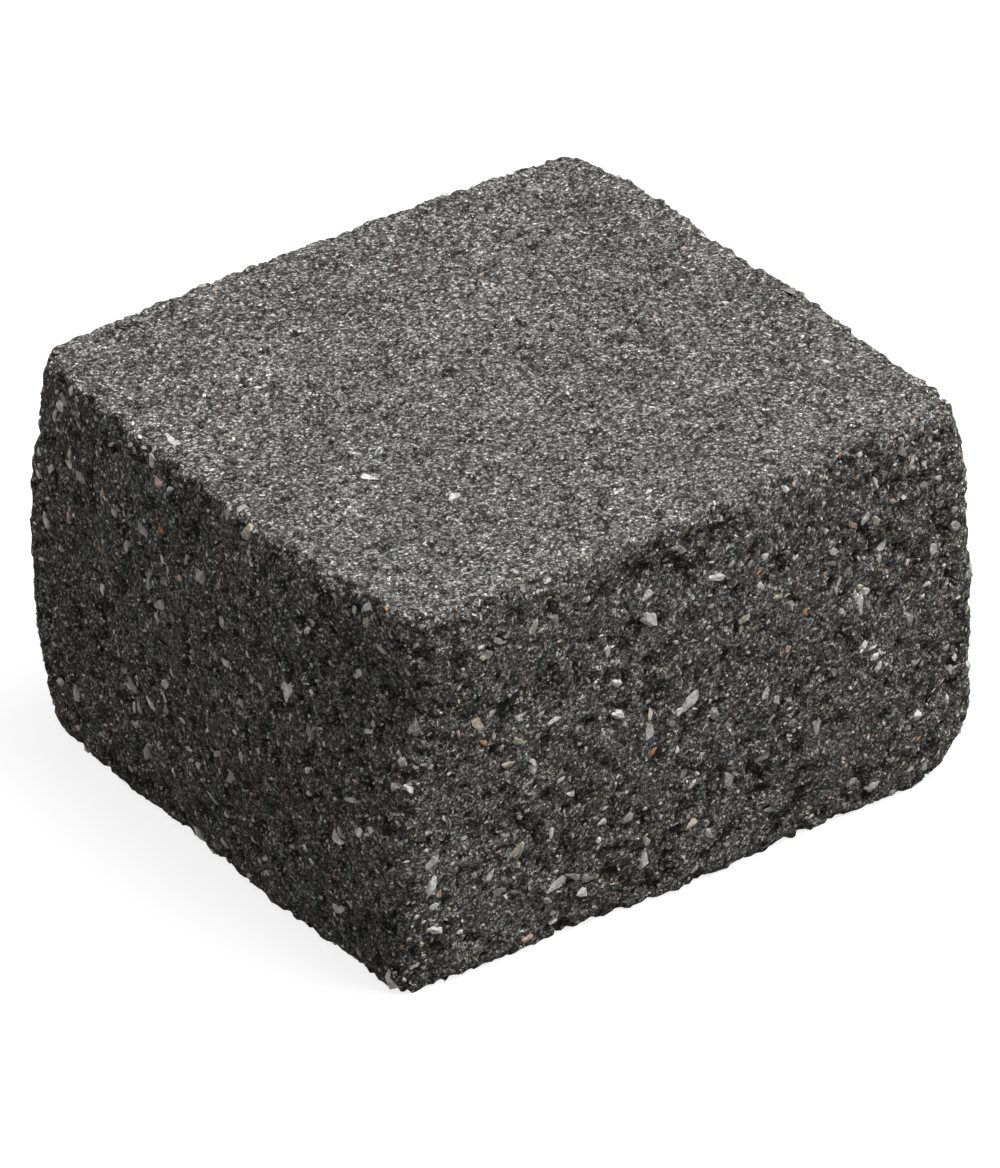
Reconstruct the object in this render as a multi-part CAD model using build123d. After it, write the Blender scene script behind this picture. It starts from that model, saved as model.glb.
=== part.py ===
from build123d import *

import math
import os

# A split concrete wall block, in millimetres. It is one solid: a pressed blank with
# flat, level bed faces at foot and head, whose four upright sides were split off, so
# that they bow out, swell and hollow as broken concrete does. The origin is at the
# middle of the foot bed face, +X runs along the length and +Z is up.

# Nominal size, which the split sides stand a little out of or short of
length = 220.0
width = 200.0
height = 140.0

# Worn arrises: how far the upright ones and those round the bed faces are taken back
upright_arris = 4.0
bed_arris = 1.8

# Swells that run across every split side, as a height and a wavelength
broad_swell = 0.7
broad_wave = 90.0
fine_swell = 0.3
fine_wave = 52.0
wave_slant = 0.6

# Spacing of the points that a split surface runs through, and how far the surface
# runs past the block on every edge
point_spacing = 20.0
run_past = 16.0

# How far each split side stands out of its nominal plane at its four corners. Left and
# right are as seen from outside. A bow is along the side and the belly is up it.
front_side = {
    "foot_left": -1.5, "foot_right": 3.0, "head_left": 1.0, "head_right": 1.0,
    "foot_bow": 3.2, "head_bow": 3.8, "belly": 2.5, "phase": 0.4,
}
right_side = {
    "foot_left": 7.0, "foot_right": 2.0, "head_left": -3.0, "head_right": 0.5,
    "foot_bow": 3.0, "head_bow": 3.5, "belly": 4.0, "phase": 2.0,
}
back_side = {
    "foot_left": 3.0, "foot_right": -1.0, "head_left": 6.0, "head_right": 4.0,
    "foot_bow": 3.0, "head_bow": 3.2, "belly": 5.0, "phase": 3.7,
}
left_side = {
    "foot_left": 2.0, "foot_right": 4.0, "head_left": -1.5, "head_right": 0.0,
    "foot_bow": 1.5, "head_bow": 6.0, "belly": 4.0, "phase": 5.1,
}

# Local relief: the hollow that the split tore out of the left side beside the front
# arris, and the lump that it left on the right side's head edge
local_relief = {
    "left": {
        "out": -8.5, "from_right": 11.0, "above_foot": 101.0,
        "reach_along": 24.0, "reach_up": 24.0,
    },
    "right": {
        "out": 3.5, "from_right": 36.0, "above_foot": 136.0,
        "reach_along": 15.0, "reach_up": 30.0,
    },
}

# Spalled corners: how far the break runs from the corner along the front or back edge,
# along the left or right edge and up or down the arris, and the break's own radius
corner_breaks = {
    "front_left_foot": (5.0, 5.0, 7.0, 14.0),
    "front_right_foot": (28.0, 26.0, 36.0, 50.0),
    "back_right_foot": (12.0, 12.0, 14.0, 26.0),
    "back_left_foot": (9.0, 9.0, 10.0, 20.0),
    "front_left_head": (12.0, 12.0, 5.0, 30.0),
    "front_right_head": (7.0, 7.0, 9.0, 20.0),
    "back_right_head": (14.0, 12.0, 6.0, 30.0),
    "back_left_head": (10.0, 10.0, 13.0, 24.0),
}

# Chips out of the head edges: the share of the edge from its left end, the radius of
# the bite and how deep it goes
edge_chips = {
    "front": [(0.42, 16.0, 1.6), (0.80, 20.0, 1.8)],
    "right": [(0.55, 14.0, 2.2), (0.83, 18.0, 3.0)],
    "back": [(0.30, 18.0, 1.6), (0.74, 14.0, 1.8)],
    "left": [(0.22, 13.0, 2.4), (0.60, 17.0, 1.8)],
}


def side_layout():
    """Each side's left foot corner, its heading, its outward direction, run and relief."""
    east, north = Vector(1, 0, 0), Vector(0, 1, 0)
    half_length, half_width = east * (length / 2), north * (width / 2)
    return {
        "front": (-half_length - half_width, east, -north, length, front_side),
        "right": (half_length - half_width, north, east, width, right_side),
        "back": (half_length + half_width, -east, north, length, back_side),
        "left": (half_width - half_length, -north, -east, width, left_side),
    }


def local_stand_out(name, from_right, up):
    """How far a hollow or lump brings a side in or out; the side may have none."""
    if name not in local_relief:
        return 0.0
    spot = local_relief[name]
    off_along = (from_right - spot["from_right"]) / spot["reach_along"]
    off_up = (up - spot["above_foot"]) / spot["reach_up"]
    return spot["out"] * math.exp(-(off_along**2) - off_up**2)


def stand_out(name, along, up):
    """How far a side stands out of its nominal plane, at a point along and up it."""
    run, relief = side_layout()[name][3:]
    s, t = along / run, up / height
    foot = relief["foot_left"] * (1 - s) + relief["foot_right"] * s
    head = relief["head_left"] * (1 - s) + relief["head_right"] * s
    flat = foot * (1 - t) + head * t
    bow = relief["foot_bow"] * (1 - t) + relief["head_bow"] * t
    bulge = bow * 4 * s * (1 - s) + relief["belly"] * 4 * t * (1 - t)
    broad = math.sin(2 * math.pi * (along + wave_slant * up) / broad_wave + relief["phase"])
    fine = math.sin(2 * math.pi * (wave_slant * along - up) / fine_wave + relief["phase"])
    swell = broad_swell * broad + fine_swell * fine
    return flat + bulge + swell + local_stand_out(name, run - along, up)


def spaced(run):
    """Even steps along a run, from run_past before it to run_past after it."""
    whole = run + 2 * run_past
    count = math.ceil(whole / point_spacing)
    return [whole * step / count - run_past for step in range(count + 1)]


def side_point(name, along, up):
    """A point on a split side."""
    start, heading, outward, run, relief = side_layout()[name]
    return start + heading * along + outward * stand_out(name, along, up) + Vector(0, 0, up)


def split_stock(name):
    """The stock that splitting takes off a side, from its rough surface outwards."""
    outward, run = side_layout()[name][2:4]
    points = [[side_point(name, along, up) for along in spaced(run)] for up in spaced(height)]
    surface = Face.make_surface_from_array_of_points(points, tol=0.2)
    return extrude(surface, amount=4 * run_past, dir=outward)


def split_block():
    """The pressed blank, with its four sides split off."""
    blank = Box(length + 2 * run_past, width + 2 * run_past, height)
    block = Pos(0, 0, height / 2) * blank
    for name in side_layout():
        block -= split_stock(name)
    return block


def arris_stock(edge_points, way_out, other_way_out, taken_back):
    """What wear takes off an arris: all that lies outside a flat that follows it."""
    onto_flat = (way_out + other_way_out) * (-taken_back / 2)
    across = (way_out - other_way_out) * taken_back
    flat = Face.make_surface_from_curves(
        Spline(*[point + onto_flat - across for point in edge_points]),
        Spline(*[point + onto_flat + across for point in edge_points]),
    )
    return extrude(flat, amount=run_past, dir=way_out + other_way_out)


def bed_arris_stock(name, up):
    """The wear along one side's foot or head edge."""
    outward, run = side_layout()[name][2:4]
    edge_points = [side_point(name, along, up) for along in spaced(run)]
    return arris_stock(edge_points, outward, Vector(0, 0, 1 if up > 0 else -1), bed_arris)


def corner_point(fore, hand, up):
    """Where two split sides meet, at a height above the foot."""
    starts_here = (fore == "front") == (hand == "left")
    x = length / 2 + stand_out(hand, width if starts_here else 0.0, up)
    y = width / 2 + stand_out(fore, 0.0 if starts_here else length, up)
    return Vector(-x if hand == "left" else x, -y if fore == "front" else y, up)


def upright_arris_stock(fore, hand):
    """The wear down the arris between two split sides."""
    layout = side_layout()
    edge_points = [corner_point(fore, hand, up) for up in spaced(height)]
    return arris_stock(edge_points, layout[fore][2], layout[hand][2], upright_arris)


def corner_spall(name):
    """What breaks off a corner: all that lies outside a ball through three edge points."""
    fore, hand, level = name.split("_")
    *reaches, radius = corner_breaks[name]
    layout = side_layout()
    up_way = Vector(0, 0, 1 if level == "head" else -1)
    corner = corner_point(fore, hand, height if level == "head" else 0.0)
    ways_out = (layout[hand][2], layout[fore][2], up_way)
    a, b, c = (corner - way * reach for way, reach in zip(ways_out, reaches))
    ab, ac = b - a, c - a
    normal = ab.cross(ac)
    to_middle = normal.cross(ab) * ac.length**2 + ac.cross(normal) * ab.length**2
    to_middle = to_middle / (2 * normal.length**2)
    inward = normal.normalized()
    if inward.dot(corner - a) > 0:
        inward = -inward
    centre = a + to_middle + inward * math.sqrt(radius**2 - to_middle.length**2)
    around = 2 * max(reaches)
    return Pos(*corner) * Box(around, around, around) - Pos(*centre) * Sphere(radius)


def edge_chip(name, share, radius, bite):
    """A ball that bites a shallow chip out of a side's head edge."""
    outward, run = side_layout()[name][2:4]
    slope = (outward + Vector(0, 0, 1)).normalized()
    centre = side_point(name, share * run, height) + slope * (radius - bite)
    return Pos(*centre) * Sphere(radius)


def wall_block():
    """The whole block."""
    block = split_block()
    for fore in ("front", "back"):
        for hand in ("left", "right"):
            block -= upright_arris_stock(fore, hand)
    for name in side_layout():
        block -= bed_arris_stock(name, 0.0)
        block -= bed_arris_stock(name, height)
    for name in corner_breaks:
        block -= corner_spall(name)
    for name, chips in edge_chips.items():
        for share, radius, bite in chips:
            block -= edge_chip(name, share, radius, bite)
    return block


os.makedirs("parts", exist_ok=True)
export_step(wall_block(), "parts/wall_block.step")
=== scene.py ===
import math
import random

import bmesh
import bpy
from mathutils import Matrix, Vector


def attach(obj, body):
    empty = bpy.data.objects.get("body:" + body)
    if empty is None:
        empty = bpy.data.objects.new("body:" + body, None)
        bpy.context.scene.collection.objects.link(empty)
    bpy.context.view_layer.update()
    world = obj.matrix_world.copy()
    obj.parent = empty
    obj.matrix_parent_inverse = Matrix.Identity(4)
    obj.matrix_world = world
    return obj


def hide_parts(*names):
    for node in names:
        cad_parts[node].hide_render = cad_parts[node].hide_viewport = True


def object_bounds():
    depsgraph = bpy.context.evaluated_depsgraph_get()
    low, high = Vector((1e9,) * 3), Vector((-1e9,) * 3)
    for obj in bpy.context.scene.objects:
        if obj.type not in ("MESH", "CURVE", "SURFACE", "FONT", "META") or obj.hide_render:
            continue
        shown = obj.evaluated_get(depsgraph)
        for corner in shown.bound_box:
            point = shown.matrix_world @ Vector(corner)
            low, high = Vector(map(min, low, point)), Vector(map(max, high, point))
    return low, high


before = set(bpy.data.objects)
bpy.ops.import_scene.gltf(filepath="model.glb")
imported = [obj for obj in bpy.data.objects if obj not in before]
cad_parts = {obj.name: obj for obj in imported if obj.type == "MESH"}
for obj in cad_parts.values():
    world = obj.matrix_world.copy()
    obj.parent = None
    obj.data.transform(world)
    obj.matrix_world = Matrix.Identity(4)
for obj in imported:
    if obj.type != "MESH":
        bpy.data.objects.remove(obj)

# lengths are in metres; mm keeps them readable
mm = 0.001
cadLow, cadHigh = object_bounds()
print("frame loaded, CAD box", [round(side / mm, 1) for side in cadHigh - cadLow], "mm")


# small helpers for node trees

def linkOrSet(tree, socket, value):
    if isinstance(value, bpy.types.NodeSocket):
        tree.links.new(value, socket)
    else:
        socket.default_value = value


def addNode(tree, kind, inputs=None, **settings):
    node = tree.nodes.new(kind)
    for key, value in settings.items():
        setattr(node, key, value)
    for name, value in (inputs or {}).items():
        linkOrSet(tree, node.inputs[name], value)
    return node


def calc(tree, operation, *values):
    return addNode(tree, "ShaderNodeMath", dict(enumerate(values)), operation=operation).outputs[0]


def vectorCalc(tree, operation, *values):
    node = addNode(tree, "ShaderNodeVectorMath", dict(enumerate(values)), operation=operation)
    return node.outputs["Value" if operation == "LENGTH" else "Vector"]


def scaleVector(tree, vector, factor):
    inputs = {0: vector, "Scale": factor}
    return addNode(tree, "ShaderNodeVectorMath", inputs, operation="SCALE").outputs["Vector"]


def splitVector(tree, vector):
    return addNode(tree, "ShaderNodeSeparateXYZ", {0: vector}).outputs


def joinVector(tree, x, y, z):
    return addNode(tree, "ShaderNodeCombineXYZ", {"X": x, "Y": y, "Z": z}).outputs[0]


def ease(tree, value, low, high, toLow=0.0, toHigh=1.0):
    # a smooth step between two values
    inputs = {"Value": value, "From Min": low, "From Max": high, "To Min": toLow, "To Max": toHigh}
    return addNode(tree, "ShaderNodeMapRange", inputs, interpolation_type="SMOOTHSTEP").outputs["Result"]


def spread(tree, value, low, high, toLow=0.0, toHigh=1.0):
    inputs = {"Value": value, "From Min": low, "From Max": high, "To Min": toLow, "To Max": toHigh}
    return addNode(tree, "ShaderNodeMapRange", inputs).outputs["Result"]


def noise(tree, place, scale, detail=2.0, rough=0.5, output="Fac"):
    inputs = {"Vector": place, "Scale": scale, "Detail": detail, "Roughness": rough}
    return addNode(tree, "ShaderNodeTexNoise", inputs).outputs[output]


def wobble(tree, place, scale):
    # a vector that swings about zero
    return vectorCalc(tree, "SUBTRACT", noise(tree, place, scale, 1.0, output="Color"), (0.5, 0.5, 0.5))


def mixValue(tree, share, below, above):
    node = addNode(tree, "ShaderNodeMix", {"Factor": share}, data_type="FLOAT")
    linkOrSet(tree, node.inputs[2], below)
    linkOrSet(tree, node.inputs[3], above)
    return node.outputs[0]


def mixColour(tree, share, below, above, blend="MIX"):
    node = addNode(tree, "ShaderNodeMix", {"Factor": share}, data_type="RGBA", blend_type=blend)
    linkOrSet(tree, node.inputs[6], below)
    linkOrSet(tree, node.inputs[7], above)
    return node.outputs[2]


def newTree(name, kind, inputs, outputs):
    tree = bpy.data.node_groups.new(name, kind)
    for socketName, socketKind, value in inputs:
        socket = tree.interface.new_socket(socketName, in_out="INPUT", socket_type=socketKind)
        if value is not None:
            socket.default_value = value
    for socketName, socketKind in outputs:
        tree.interface.new_socket(socketName, in_out="OUTPUT", socket_type=socketKind)
    return tree, tree.nodes.new("NodeGroupInput").outputs, tree.nodes.new("NodeGroupOutput").inputs


def blurred(tree, field, times, kind):
    node = addNode(tree, "GeometryNodeBlurAttribute", {"Iterations": times}, data_type=kind)
    tree.links.new(field, [socket for socket in node.inputs if socket.enabled][0])
    return [socket for socket in node.outputs if socket.enabled][0]


def storeOnPoints(tree, geometry, name, value, kind="FLOAT"):
    inputs = {"Geometry": geometry, "Name": name, "Value": value}
    node = addNode(tree, "GeometryNodeStoreNamedAttribute", inputs, data_type=kind, domain="POINT")
    return node.outputs[0]


def readStored(tree, name, kind="FLOAT"):
    node = addNode(tree, "GeometryNodeInputNamedAttribute", {"Name": name}, data_type=kind)
    return node.outputs["Attribute"]


# small helpers for objects

def newObject(name, mesh):
    made = bpy.data.objects.new(name, mesh)
    bpy.context.scene.collection.objects.link(made)
    return made


def triangleCount(piece):
    return sum(len(face.vertices) - 2 for face in piece.data.polygons)


def bakeDown(piece):
    # the evaluated object as a plain mesh, with its modifiers gone
    bpy.context.view_layer.update()
    evaluated = piece.evaluated_get(bpy.context.evaluated_depsgraph_get())
    plain = bpy.data.meshes.new_from_object(evaluated)
    piece.modifiers.clear()
    piece.data = plain
    plain.name = piece.name


def runTree(piece, tree, values):
    # sets a Geometry Nodes modifier's named inputs by their identifiers, then makes it plain mesh
    modifier = piece.modifiers.new(tree.name, "NODES")
    modifier.node_group = tree
    sockets = {item.name: item.identifier for item in tree.interface.items_tree if item.in_out == "INPUT"}
    for name, value in values.items():
        modifier[sockets[name]] = value
    bakeDown(piece)


# finishes

spotShape = {"bendScale": 2.4, "softEdge": 0.8}    # how a spot's outline wanders, and where it fades
gritShape = {
    "sandDetail": 3.0, "sandRough": 0.85, "bendScale": 1.3, "bendReach": 1.6,
    "gapFrom": 0.35, "gapFull": 0.75,   # the seams between grains
    # the sand's tone and height share one noise, so lower sand is darker: partly its own tone, partly
    # painted shade; the seams get painted shade
    "sandTone": 2.7, "grainTone": 0.9, "gapShade": 0.45, "sandHeight": 1.7, "gapHeight": 0.3,
    "mottleDetail": 3.0, "mottleRough": 0.6, "mottleLow": 0.3, "mottleHigh": 0.7,
}


def spotGroup():
    # scattered blobs: cells of a 3D pattern, of which only a share is filled
    names = ["Spacing", "Share", "Smallest", "Largest", "Ragged"]
    inputs = [("Vector", "NodeSocketVector", None)] + [(name, "NodeSocketFloat", None) for name in names]
    outputs = [("Mask", "NodeSocketFloat"), ("Tone", "NodeSocketFloat")]
    tree, given, wanted = newTree("scatteredSpots", "ShaderNodeTree", inputs, outputs)
    scaled = scaleVector(tree, given["Vector"], calc(tree, "DIVIDE", 1.0, given["Spacing"]))
    bend = scaleVector(tree, wobble(tree, scaled, spotShape["bendScale"]), given["Ragged"])
    bent = vectorCalc(tree, "ADD", scaled, bend)
    cells = addNode(tree, "ShaderNodeTexVoronoi", {"Vector": bent, "Scale": 1.0})
    chance = addNode(tree, "ShaderNodeSeparateColor", {0: cells.outputs["Color"]}).outputs
    filled = calc(tree, "LESS_THAN", chance["Red"], given["Share"])
    size = spread(tree, chance["Green"], 0.0, 1.0, given["Smallest"], given["Largest"])
    fadeStart = calc(tree, "MULTIPLY", size, spotShape["softEdge"])
    inside = ease(tree, cells.outputs["Distance"], fadeStart, size, 1.0, 0.0)
    tree.links.new(calc(tree, "MULTIPLY", inside, filled), wanted["Mask"])
    tree.links.new(chance["Blue"], wanted["Tone"])
    return tree


def gritGroup():
    # the sandy grain of the concrete: a tone about 0.5, and a height about 0. The tone is partly the
    # sand's own colour and partly painted shade, which falls where the sand is lower and in the seams
    # between grains.
    shape = gritShape
    names = ["Sand Size", "Grain Size", "Mottle Size"]
    inputs = [("Vector", "NodeSocketVector", None)] + [(name, "NodeSocketFloat", None) for name in names]
    outputs = [(name, "NodeSocketFloat") for name in ("Tone", "Height", "Mottle")]
    tree, given, wanted = newTree("sandyGrit", "ShaderNodeTree", inputs, outputs)
    place = given["Vector"]
    sandScale = calc(tree, "DIVIDE", 1.0, given["Sand Size"])
    sand = noise(tree, place, sandScale, shape["sandDetail"], shape["sandRough"])
    sandTone = calc(tree, "SUBTRACT", sand, 0.5)
    scaled = scaleVector(tree, place, calc(tree, "DIVIDE", 1.0, given["Grain Size"]))
    reach = (shape["bendReach"],) * 3
    bent = vectorCalc(tree, "MULTIPLY_ADD", wobble(tree, scaled, shape["bendScale"]), reach, scaled)
    grains = addNode(tree, "ShaderNodeTexVoronoi", {"Vector": bent, "Scale": 1.0})
    chance = addNode(tree, "ShaderNodeSeparateColor", {0: grains.outputs["Color"]}).outputs
    grainTone = calc(tree, "SUBTRACT", chance["Red"], 0.5)
    gap = ease(tree, grains.outputs["Distance"], shape["gapFrom"], shape["gapFull"])
    # the same sand noise sets tone and height, so lower sand is darker: partly the sand's own tone, partly
    # painted shade
    sandPart = calc(tree, "MULTIPLY", sandTone, shape["sandTone"])
    grainPart = calc(tree, "MULTIPLY", grainTone, shape["grainTone"])
    tone = calc(tree, "ADD", sandPart, grainPart)
    # painted shade in the seams between grains, which are also made lower
    tone = calc(tree, "SUBTRACT", tone, calc(tree, "MULTIPLY", gap, shape["gapShade"]))
    raised = calc(tree, "MULTIPLY", sandTone, shape["sandHeight"])
    height = calc(tree, "SUBTRACT", raised, calc(tree, "MULTIPLY", gap, shape["gapHeight"]))
    mottleScale = calc(tree, "DIVIDE", 1.0, given["Mottle Size"])
    mottle = noise(tree, place, mottleScale, shape["mottleDetail"], shape["mottleRough"])
    tree.links.new(calc(tree, "ADD", tone, 0.5), wanted["Tone"])
    tree.links.new(height, wanted["Height"])
    tree.links.new(spread(tree, mottle, shape["mottleLow"], shape["mottleHigh"]), wanted["Mottle"])
    return tree


def placeGroup(tree, group, inputs):
    return addNode(tree, "ShaderNodeGroup", inputs, node_tree=group).outputs


def newMaterial(name):
    material = bpy.data.materials.new(name)
    material.use_nodes = True
    return material, material.node_tree, material.node_tree.nodes["Principled BSDF"]


def addBump(tree, surface, height, depth):
    bump = addNode(tree, "ShaderNodeBump", {"Height": height, "Strength": 1.0, "Distance": depth})
    tree.links.new(bump.outputs["Normal"], surface.inputs["Normal"])


def readAttribute(tree, name):
    return addNode(tree, "ShaderNodeAttribute", attribute_name=name).outputs["Fac"]


def sandColour(tree, tone, darkest, contrast, tint):
    # tone 0 is the darkest sand and tone 1 the palest, with even steps by eye
    level = calc(tree, "MULTIPLY", calc(tree, "POWER", contrast, tone), darkest)
    return scaleVector(tree, tint, level)


concreteLook = {
    "greySand": (1.0, 0.985, 0.95, 1.0), "brownSand": (1.0, 0.88, 0.74, 1.0),
    "brownPatch": 6 * mm, "brownDetail": 3.0, "brownRough": 0.7, "brownFrom": 0.47, "brownFull": 0.70,
    "splitDarkest": 0.060, "splitContrast": 11.0,   # the palest sand is this many times the darkest
    "bedDarkest": 0.066, "bedContrast": 11.5, "mottleSwing": 0.07,
    "sandSize": 1.6 * mm, "grainSize": 0.85 * mm, "mottleSize": 30 * mm,
    "splitFleck": (0.86, 0.84, 0.80, 1.0), "bedFleck": (0.60, 0.60, 0.58, 1.0), "faintestFleck": 0.1,
    "splitFlecks": {"Spacing": 2.8 * mm, "Share": 0.32, "Smallest": 0.10, "Largest": 0.36, "Ragged": 0.9},
    "bedFlecks": {"Spacing": 1.9 * mm, "Share": 0.50, "Smallest": 0.12, "Largest": 0.40, "Ragged": 0.9},
    # painted shade for the pits: near black where the sand is darkest, lighter towards paler sand
    "pitShadeColour": (0.016, 0.015, 0.014, 1.0), "pitSandLow": 0.2, "pitSandHigh": 0.8, "lightestPitShade": 0.55,
    "sandRoughness": 0.85, "fleckRoughness": 0.45, "sheen": 0.10,
    "fleckHeight": 0.25, "bumpDepth": 1.1 * mm,
}


def concreteMaterial(spots, grit):
    look = concreteLook
    material, tree, surface = newMaterial("splitConcrete")
    place = addNode(tree, "ShaderNodeTexCoord").outputs["Object"]
    pressed = readAttribute(tree, "pressed")
    pit = readAttribute(tree, "pit")

    # dark sand, with brown patches in the split faces
    sand = placeGroup(tree, grit, {
        "Vector": place, "Sand Size": look["sandSize"], "Grain Size": look["grainSize"],
        "Mottle Size": look["mottleSize"]})
    mottle = spread(tree, sand["Mottle"], 0.0, 1.0, -look["mottleSwing"], look["mottleSwing"])
    tone = calc(tree, "ADD", sand["Tone"], mottle)
    patches = noise(tree, place, 1 / look["brownPatch"], look["brownDetail"], look["brownRough"])
    brown = ease(tree, patches, look["brownFrom"], look["brownFull"])
    tint = mixColour(tree, brown, look["greySand"], look["brownSand"])
    split = sandColour(tree, tone, look["splitDarkest"], look["splitContrast"], tint)
    bed = sandColour(tree, tone, look["bedDarkest"], look["bedContrast"], look["greySand"][:3])
    ground = mixColour(tree, pressed, split, bed)

    # pale flecks, and painted shade in the pits
    splitFlecks = placeGroup(tree, spots, {"Vector": place, **look["splitFlecks"]})
    bedFlecks = placeGroup(tree, spots, {"Vector": place, **look["bedFlecks"]})
    flecks = mixValue(tree, pressed, splitFlecks["Mask"], bedFlecks["Mask"])
    fleckTone = mixValue(tree, pressed, splitFlecks["Tone"], bedFlecks["Tone"])
    paleness = spread(tree, fleckTone, 0.0, 1.0, look["faintestFleck"], 1.0)
    strength = calc(tree, "MULTIPLY", flecks, paleness)
    fleckColour = mixColour(tree, pressed, look["splitFleck"], look["bedFleck"])
    withFlecks = mixColour(tree, strength, ground, fleckColour)
    # the pits get painted shade on top of their real depth, strongest where the sand is darker
    dark = spread(tree, sand["Tone"], look["pitSandLow"], look["pitSandHigh"], 1.0, look["lightestPitShade"])
    colour = mixColour(tree, calc(tree, "MULTIPLY", pit, dark), withFlecks, look["pitShadeColour"])
    tree.links.new(colour, surface.inputs["Base Color"])

    rough = spread(tree, strength, 0.0, 1.0, look["sandRoughness"], look["fleckRoughness"])
    tree.links.new(rough, surface.inputs["Roughness"])
    surface.inputs["Specular IOR Level"].default_value = look["sheen"]
    height = calc(tree, "ADD", sand["Height"], calc(tree, "MULTIPLY", flecks, look["fleckHeight"]))
    addBump(tree, surface, height, look["bumpDepth"])
    return material


stoneLook = {
    "tones": [   # where each colour starts in a stone's own chance, and the colour
        (0.00, (0.30, 0.29, 0.28, 1)), (0.12, (0.48, 0.47, 0.45, 1)), (0.30, (0.68, 0.67, 0.64, 1)),
        (0.48, (0.84, 0.83, 0.80, 1)), (0.70, (0.95, 0.94, 0.92, 1)), (0.86, (0.68, 0.59, 0.46, 1)),
        (0.935, (0.72, 0.50, 0.41, 1)), (0.985, (0.60, 0.27, 0.10, 1)),
    ],
    "sandSize": 2.2 * mm, "grainSize": 0.9 * mm, "veinSize": 2.4 * mm,
    "veinColour": (0.5, 0.49, 0.47, 1), "veinFrom": 0.2, "veinGone": 0.75, "veinShare": 0.85,
    "smoothest": 0.35, "roughest": 0.7, "bumpDepth": 0.5 * mm,
}


def stoneMaterial(grit):
    look = stoneLook
    material, tree, surface = newMaterial("brokenStone")
    place = addNode(tree, "ShaderNodeTexCoord").outputs["Object"]
    sand = placeGroup(tree, grit, {
        "Vector": place, "Sand Size": look["sandSize"], "Grain Size": look["grainSize"],
        "Mottle Size": look["veinSize"]})
    ramp = addNode(tree, "ShaderNodeValToRGB", {"Fac": readAttribute(tree, "tone")})
    ramp.color_ramp.interpolation = "CONSTANT"
    stops = ramp.color_ramp.elements
    while len(stops) < len(look["tones"]):
        stops.new(0.5)
    for stop, (start, colour) in zip(stops, look["tones"]):
        stop.position = start
        stop.color = colour
    clear = ease(tree, sand["Mottle"], look["veinFrom"], look["veinGone"])
    veined = mixColour(tree, clear, look["veinColour"], (1, 1, 1, 1))
    colour = mixColour(tree, look["veinShare"], ramp.outputs["Color"], veined, "MULTIPLY")
    tree.links.new(colour, surface.inputs["Base Color"])
    rough = spread(tree, sand["Tone"], 0.0, 1.0, look["smoothest"], look["roughest"])
    tree.links.new(rough, surface.inputs["Roughness"])
    addBump(tree, surface, sand["Height"], look["bumpDepth"])
    return material


spots = spotGroup()
grit = gritGroup()
concrete = concreteMaterial(spots, grit)
stone = stoneMaterial(grit)
print("finishes made")


# the block itself

roughness = {   # sizes are wavelengths; lumps and grit swing about the face, pits and bites only go in
    "Lump Size": 15 * mm, "Lump Height": 1.5 * mm,
    "Grit Size": 4.2 * mm, "Grit Height": 1.7 * mm,
    "Pit Size": 5.4 * mm, "Pit Depth": 1.7 * mm,
    "Bed Grit Height": 0.5 * mm, "Bed Pit Depth": 0.9 * mm,
    "Arris Bite": 1.3 * mm, "Bite Size": 6 * mm,
    "Split Set Out": 0.55 * mm, "Bed Set Back": 0.25 * mm,
}
faceRules = {   # where pressed faces, arrises, pits and bites begin, and where they are full
    "voxel": 1.55 * mm, "weld": 0.01 * mm, "detail": 2.0, "rough": 0.6,
    "pressedFrom": 0.80, "pressedFull": 0.95, "edgeWander": 0.25, "wanderSize": 5 * mm,
    "arrisFrom": 0.98, "arrisFull": 0.80, "arrisReach": 8,
    "pitFrom": 0.55, "pitFull": 0.63, "bedPitFrom": 0.57, "bedPitFull": 0.63, "bedPitFiner": 1.6,
    "biteFrom": 0.48, "biteFull": 0.68, "boxSoftness": 0.3 * mm,
}


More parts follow.
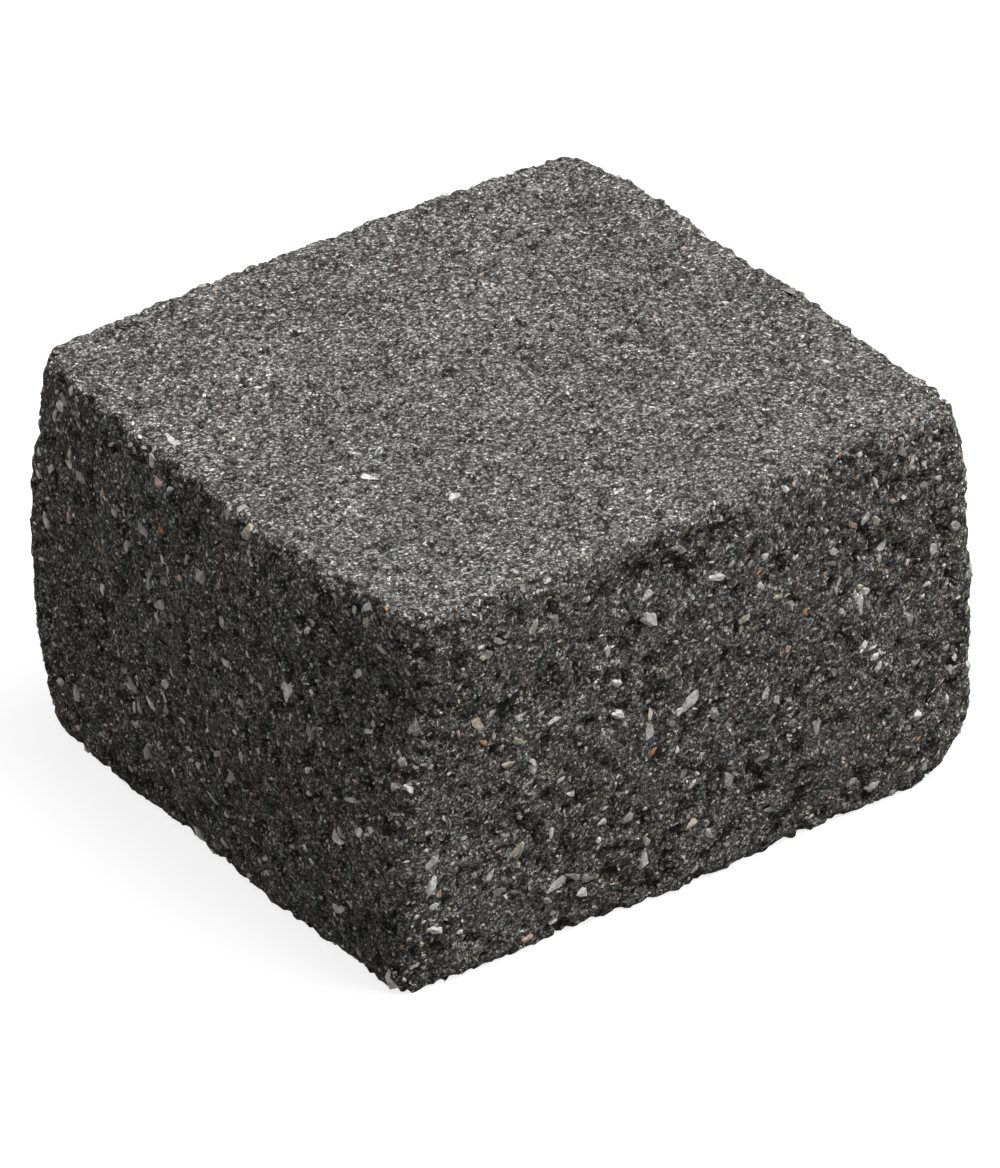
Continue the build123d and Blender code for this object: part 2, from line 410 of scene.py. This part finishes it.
def roughenTree():
    rules = faceRules
    inputs = [("Geometry", "NodeSocketGeometry", None)]
    inputs += [(name, "NodeSocketFloat", value) for name, value in roughness.items()]
    inputs += [("Lowest", "NodeSocketVector", None), ("Highest", "NodeSocketVector", None),
               ("Finish", "NodeSocketMaterial", None)]
    outputs = [("Geometry", "NodeSocketGeometry")]
    tree, given, wanted = newTree("roughenFaces", "GeometryNodeTree", inputs, outputs)
    place = addNode(tree, "GeometryNodeInputPosition").outputs[0]
    normal = addNode(tree, "GeometryNodeInputNormal").outputs[0]

    def pattern(size, finer=1.0):
        return noise(tree, place, calc(tree, "DIVIDE", finer, size), rules["detail"], rules["rough"])

    def relief(size, height):
        # swings about zero
        swing = calc(tree, "SUBTRACT", pattern(size), 0.5)
        return calc(tree, "MULTIPLY", swing, calc(tree, "MULTIPLY", height, 2.0))

    # how much a point belongs to a pressed bed face, and how near it is to an arris
    upness = calc(tree, "ABSOLUTE", splitVector(tree, normal)["Z"])
    wander = relief(rules["wanderSize"], rules["edgeWander"])
    raggedUp = calc(tree, "ADD", blurred(tree, upness, 1, "FLOAT"), wander)
    pressed = ease(tree, raggedUp, rules["pressedFrom"], rules["pressedFull"])
    evenness = vectorCalc(tree, "LENGTH", blurred(tree, normal, rules["arrisReach"], "FLOAT_VECTOR"))
    arris = ease(tree, evenness, rules["arrisFrom"], rules["arrisFull"])

    # relief of the split faces, and bites out of the arrises
    lumps = relief(given["Lump Size"], given["Lump Height"])
    splitLift = calc(tree, "ADD", lumps, relief(given["Grit Size"], given["Grit Height"]))
    pit = ease(tree, pattern(given["Pit Size"]), rules["pitFrom"], rules["pitFull"])
    bitten = ease(tree, pattern(given["Bite Size"]), rules["biteFrom"], rules["biteFull"])
    bites = calc(tree, "MULTIPLY", calc(tree, "MULTIPLY", bitten, arris), given["Arris Bite"])

    # relief of the pressed faces
    bedPattern = pattern(given["Pit Size"], rules["bedPitFiner"])
    bedPit = ease(tree, bedPattern, rules["bedPitFrom"], rules["bedPitFull"])
    bedLift = relief(given["Grit Size"], given["Bed Grit Height"])

    # each point moves along its normal
    lift = mixValue(tree, pressed, splitLift, bedLift)
    openPit = mixValue(tree, pressed, pit, bedPit)
    pitDepth = mixValue(tree, pressed, given["Pit Depth"], given["Bed Pit Depth"])
    depth = calc(tree, "MULTIPLY", openPit, pitDepth)
    setBack = calc(tree, "MULTIPLY", given["Bed Set Back"], -1.0)
    setOut = mixValue(tree, pressed, given["Split Set Out"], setBack)
    total = calc(tree, "SUBTRACT", calc(tree, "ADD", lift, setOut), calc(tree, "ADD", depth, bites))
    moved = splitVector(tree, vectorCalc(tree, "ADD", place, scaleVector(tree, normal, total)))

    # and is held a little inside the block's own box
    soft = rules["boxSoftness"]
    least = splitVector(tree, given["Lowest"])
    most = splitVector(tree, given["Highest"])
    held = []
    for axis in "XYZ":
        below = calc(tree, "SMOOTH_MIN", moved[axis], most[axis], soft)
        held.append(calc(tree, "SMOOTH_MAX", below, least[axis], soft))

    marked = storeOnPoints(tree, given["Geometry"], "pressed", pressed)
    # the pit mask also goes to the finish, where it paints shade into the pits
    marked = storeOnPoints(tree, marked, "pit", openPit)
    kept = addNode(tree, "GeometryNodeSetPosition", {
        "Geometry": marked, "Position": joinVector(tree, *held)})
    real = addNode(tree, "GeometryNodeRealizeInstances", {"Geometry": kept.outputs[0]})
    smooth = addNode(tree, "GeometryNodeSetShadeSmooth", {"Geometry": real.outputs[0]})
    painted = addNode(tree, "GeometryNodeSetMaterial", {
        "Geometry": smooth.outputs[0], "Material": given["Finish"]})
    tree.links.new(painted.outputs[0], wanted["Geometry"])
    return tree


def makeBlock():
    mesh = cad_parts["wall_block"].data.copy()
    shape = bmesh.new()
    shape.from_mesh(mesh)
    bmesh.ops.remove_doubles(shape, verts=shape.verts, dist=faceRules["weld"])
    shape.to_mesh(mesh)
    shape.free()
    mesh.materials.clear()
    block = newObject("concreteBlock", mesh)
    even = block.modifiers.new("even", "REMESH")
    even.mode = "VOXEL"
    even.voxel_size = faceRules["voxel"]
    bakeDown(block)
    runTree(block, roughenTree(), {
        **roughness, "Lowest": cadLow, "Highest": cadHigh, "Finish": concrete})
    print("block roughened:", triangleCount(block), "triangles")
    return block


block = makeBlock()


# broken stones that show in the faces

paleStones = {
    "variants": 8, "points": 16, "seed": 11,
    "scatter": {   # densities are stones per square metre
        "Split Density": 26000.0, "Bed Density": 1500.0, "Spacing": 2.2 * mm,
        "Smallest": 1.4 * mm, "Largest": 6.8 * mm, "Skew": 6.5, "Proud": 0.30 * mm,
    },
}
paleGrains = {
    "variants": 5, "points": 9, "seed": 23,
    "scatter": {
        "Split Density": 36000.0, "Bed Density": 22000.0, "Spacing": 1.3 * mm,
        "Smallest": 0.8 * mm, "Largest": 2.0 * mm, "Skew": 1.6, "Proud": 0.12 * mm,
    },
}
stoneForm = {"innermost": 0.34, "outermost": 0.5, "highest": 0.9, "flatness": 0.3}
stoneLie = {   # shares of a stone's size; tilt in radians
    "shortest": 0.8, "longest": 2.0, "narrowest": 0.7, "widest": 1.1, "thinnest": 0.6, "thickest": 1.0,
    "tilt": 0.12, "sunk": 0.12, "calmReach": 6, "margin": 0.02 * mm,
}


def stoneShapes(name, look):
    # a few flattish angular stones one unit across
    form = stoneForm
    group = bpy.data.collections.new(name)
    chance = random.Random(look["seed"])
    for number in range(look["variants"]):
        shape = bmesh.new()
        for _ in range(look["points"]):
            turn = chance.uniform(0, 2 * math.pi)
            lift = chance.uniform(-form["highest"], form["highest"])
            reach = math.sqrt(1 - lift * lift) * chance.uniform(form["innermost"], form["outermost"])
            shape.verts.new((reach * math.cos(turn), reach * math.sin(turn), form["flatness"] * lift))
        hull = bmesh.ops.convex_hull(shape, input=shape.verts)
        buried = [part for part in hull["geom_interior"] if isinstance(part, bmesh.types.BMVert)]
        bmesh.ops.delete(shape, geom=buried, context="VERTS")
        bmesh.ops.recalc_face_normals(shape, faces=shape.faces)
        mesh = bpy.data.meshes.new(f"{name}{number}")
        shape.to_mesh(mesh)
        shape.free()
        group.objects.link(bpy.data.objects.new(mesh.name, mesh))
    return group


def scatterTree():
    lie = stoneLie
    inputs = [("Geometry", "NodeSocketGeometry", None), ("Shapes", "NodeSocketCollection", None)]
    inputs += [(name, "NodeSocketFloat", 0.0) for name in paleStones["scatter"]]
    inputs += [("Seed", "NodeSocketInt", 0), ("Lowest", "NodeSocketVector", None),
               ("Highest", "NodeSocketVector", None), ("Finish", "NodeSocketMaterial", None)]
    outputs = [("Geometry", "NodeSocketGeometry")]
    tree, given, wanted = newTree("scatterStones", "GeometryNodeTree", inputs, outputs)

    # points over the faces, closer together on the split ones
    density = mixValue(tree, readStored(tree, "pressed"), given["Split Density"], given["Bed Density"])
    most = calc(tree, "MAXIMUM", given["Split Density"], given["Bed Density"])
    normal = addNode(tree, "GeometryNodeInputNormal").outputs[0]
    calm = blurred(tree, normal, lie["calmReach"], "FLOAT_VECTOR")
    marked = storeOnPoints(tree, given["Geometry"], "calmNormal", calm, "FLOAT_VECTOR")
    points = addNode(tree, "GeometryNodeDistributePointsOnFaces", distribute_method="POISSON", inputs={
        "Mesh": marked, "Distance Min": given["Spacing"], "Density Max": most,
        "Density Factor": calc(tree, "DIVIDE", density, most), "Seed": given["Seed"]})

    draws = ["size", "length", "width", "thickness", "tiltX", "tiltY", "turn", "tone"]

    def draw(name, low=0.0, high=1.0):
        # each draw has a seed of its own
        node = addNode(tree, "FunctionNodeRandomValue", data_type="FLOAT")
        lowest, highest = [socket for socket in node.inputs if socket.type == "VALUE"][:2]
        lowest.default_value = low
        highest.default_value = high
        tree.links.new(calc(tree, "ADD", given["Seed"], draws.index(name) + 1), node.inputs["Seed"])
        return [socket for socket in node.outputs if socket.type == "VALUE"][0]

    # most stones are small: the skew is a power
    share = calc(tree, "POWER", draw("size"), given["Skew"])
    size = spread(tree, share, 0.0, 1.0, given["Smallest"], given["Largest"])
    sides = joinVector(
        tree,
        calc(tree, "MULTIPLY", size, draw("length", lie["shortest"], lie["longest"])),
        calc(tree, "MULTIPLY", size, draw("width", lie["narrowest"], lie["widest"])),
        calc(tree, "MULTIPLY", size, draw("thickness", lie["thinnest"], lie["thickest"])))
    spin = joinVector(
        tree, draw("tiltX", -lie["tilt"], lie["tilt"]), draw("tiltY", -lie["tilt"], lie["tilt"]),
        draw("turn", 0.0, 2 * math.pi))
    along = readStored(tree, "calmNormal", "FLOAT_VECTOR")
    lying = addNode(tree, "FunctionNodeAlignRotationToVector", {"Vector": along}, axis="Z").outputs[0]
    turned = addNode(tree, "FunctionNodeRotateRotation", {
        "Rotation": lying, "Rotate By": spin}, rotation_space="LOCAL").outputs[0]

    # a stone sits with its widest part just under the face
    lift = calc(tree, "SUBTRACT", given["Proud"], calc(tree, "MULTIPLY", size, lie["sunk"]))
    seated = addNode(tree, "GeometryNodeSetPosition", {
        "Geometry": points.outputs["Points"], "Offset": scaleVector(tree, points.outputs["Normal"], lift)})
    toned = storeOnPoints(tree, seated.outputs[0], "tone", draw("tone"))
    shapes = addNode(tree, "GeometryNodeCollectionInfo", {
        "Collection": given["Shapes"], "Separate Children": True, "Reset Children": True})
    placed = addNode(tree, "GeometryNodeInstanceOnPoints", {
        "Points": toned, "Instance": shapes.outputs[0], "Pick Instance": True,
        "Rotation": turned, "Scale": sides})
    real = addNode(tree, "GeometryNodeRealizeInstances", {"Geometry": placed.outputs[0]})
    place = addNode(tree, "GeometryNodeInputPosition").outputs[0]
    above = vectorCalc(tree, "MAXIMUM", place, given["Lowest"])
    inside = vectorCalc(tree, "MINIMUM", above, given["Highest"])
    kept = addNode(tree, "GeometryNodeSetPosition", {"Geometry": real.outputs[0], "Position": inside})
    flat = addNode(tree, "GeometryNodeSetShadeSmooth", {
        "Geometry": kept.outputs[0], "Shade Smooth": False})
    painted = addNode(tree, "GeometryNodeSetMaterial", {
        "Geometry": flat.outputs[0], "Material": given["Finish"]})
    tree.links.new(painted.outputs[0], wanted["Geometry"])
    return tree


scatter = scatterTree()


def scatterStones(name, look):
    piece = newObject(name, block.data.copy())
    margin = Vector((stoneLie["margin"],) * 3)
    runTree(piece, scatter, {
        **look["scatter"], "Shapes": stoneShapes(name + "Shape", look), "Seed": look["seed"],
        "Lowest": cadLow + margin, "Highest": cadHigh - margin, "Finish": stone})
    print(name, "scattered:", triangleCount(piece), "triangles")
    return piece


stones = scatterStones("paleStones", paleStones)
grains = scatterStones("paleGrains", paleGrains)

for piece in (block, stones, grains):
    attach(piece, "root")
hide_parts("wall_block")


# floor, light and camera

studio = {
    "floorSide": 12.0, "floorShade": 0.30, "floorGlow": 0.80, "floorBounce": 0.15,
    "skyLevel": 1.07, "skyFocus": 2.0,
    "sunLevel": 3.15, "sunSoftness": 40.0, "sunFrom": (0.36, -0.30, 0.88),
}
view = {   # angles in degrees, lens and sensor in millimetres
    "azimuth": -37.04, "elevation": 32.22, "distance": 2.604, "aim": (-0.0076, -0.0103, 0.0696),
    "lens": 246.58, "sensor": 36.0, "near": 0.1, "far": 50.0,
}


def cameraOrMirror(tree):
    # 1 where the camera sees the surface directly, by reflection or through glass
    path = addNode(tree, "ShaderNodeLightPath").outputs
    seen = calc(tree, "MAXIMUM", path["Is Camera Ray"], path["Is Glossy Ray"])
    return calc(tree, "MAXIMUM", seen, path["Is Transmission Ray"])


def mixShader(tree, share, below, above):
    inputs = {0: share, 1: below.outputs[0], 2: above.outputs[0]}
    return addNode(tree, "ShaderNodeMixShader", inputs).outputs[0]


def makeFloor():
    half = studio["floorSide"] / 2
    corners = [(-half, -half, 0), (half, -half, 0), (half, half, 0), (-half, half, 0)]
    mesh = bpy.data.meshes.new("floor")
    mesh.from_pydata(corners, [], [(0, 1, 2, 3)])
    floor = newObject("floor", mesh)
    material = bpy.data.materials.new("paleFloor")
    material.use_nodes = True
    tree = material.node_tree
    tree.nodes.clear()
    # the camera sees a floor lifted by a glow; the block gets only a little light back from it
    shade = studio["floorShade"]
    seenShade = addNode(tree, "ShaderNodeBsdfDiffuse", {"Color": (shade, shade, shade, 1)})
    glow = addNode(tree, "ShaderNodeEmission", {"Strength": studio["floorGlow"]})
    both = addNode(tree, "ShaderNodeAddShader", {0: seenShade.outputs[0], 1: glow.outputs[0]})
    bounce = studio["floorBounce"]
    bounced = addNode(tree, "ShaderNodeBsdfDiffuse", {"Color": (bounce, bounce, bounce, 1)})
    mixed = mixShader(tree, cameraOrMirror(tree), bounced, both)
    addNode(tree, "ShaderNodeOutputMaterial", {"Surface": mixed})
    mesh.materials.append(material)


def makeLight():
    world = bpy.data.worlds.new("studioSky")
    world.use_nodes = True
    tree = world.node_tree
    tree.nodes.clear()
    # a soft box overhead: full strength straight above, fading towards the horizon
    heading = addNode(tree, "ShaderNodeTexCoord").outputs["Generated"]
    height = calc(tree, "MAXIMUM", splitVector(tree, heading)["Z"], 0.0)
    level = calc(tree, "MULTIPLY", calc(tree, "POWER", height, studio["skyFocus"]), studio["skyLevel"])
    sky = addNode(tree, "ShaderNodeBackground", {"Color": (1, 1, 1, 1), "Strength": level})
    white = addNode(tree, "ShaderNodeBackground", {"Color": (1, 1, 1, 1), "Strength": 1.0})
    mixed = mixShader(tree, cameraOrMirror(tree), sky, white)
    addNode(tree, "ShaderNodeOutputWorld", {"Surface": mixed})
    bpy.context.scene.world = world
    sun = bpy.data.lights.new("softKey", "SUN")
    sun.energy = studio["sunLevel"]
    sun.angle = math.radians(studio["sunSoftness"])
    lamp = newObject("softKey", sun)
    lamp.rotation_mode = "QUATERNION"
    lamp.rotation_quaternion = Vector(studio["sunFrom"]).to_track_quat("Z", "Y")


def makeCamera():
    turn = math.radians(view["azimuth"])
    tilt = math.radians(view["elevation"])
    back = Vector((math.sin(turn) * math.cos(tilt), -math.cos(turn) * math.cos(tilt), math.sin(tilt)))
    lens = bpy.data.cameras.new("camera")
    lens.lens = view["lens"]
    lens.sensor_width = view["sensor"]
    lens.clip_start = view["near"]
    lens.clip_end = view["far"]
    camera = newObject("camera", lens)
    camera.location = Vector(view["aim"]) + back * view["distance"]
    camera.rotation_mode = "QUATERNION"
    camera.rotation_quaternion = (-back).to_track_quat("-Z", "Y")
    bpy.context.scene.camera = camera


makeFloor()
makeLight()
makeCamera()
bpy.context.scene.view_settings.view_transform = "Standard"
print("floor, light and camera placed")
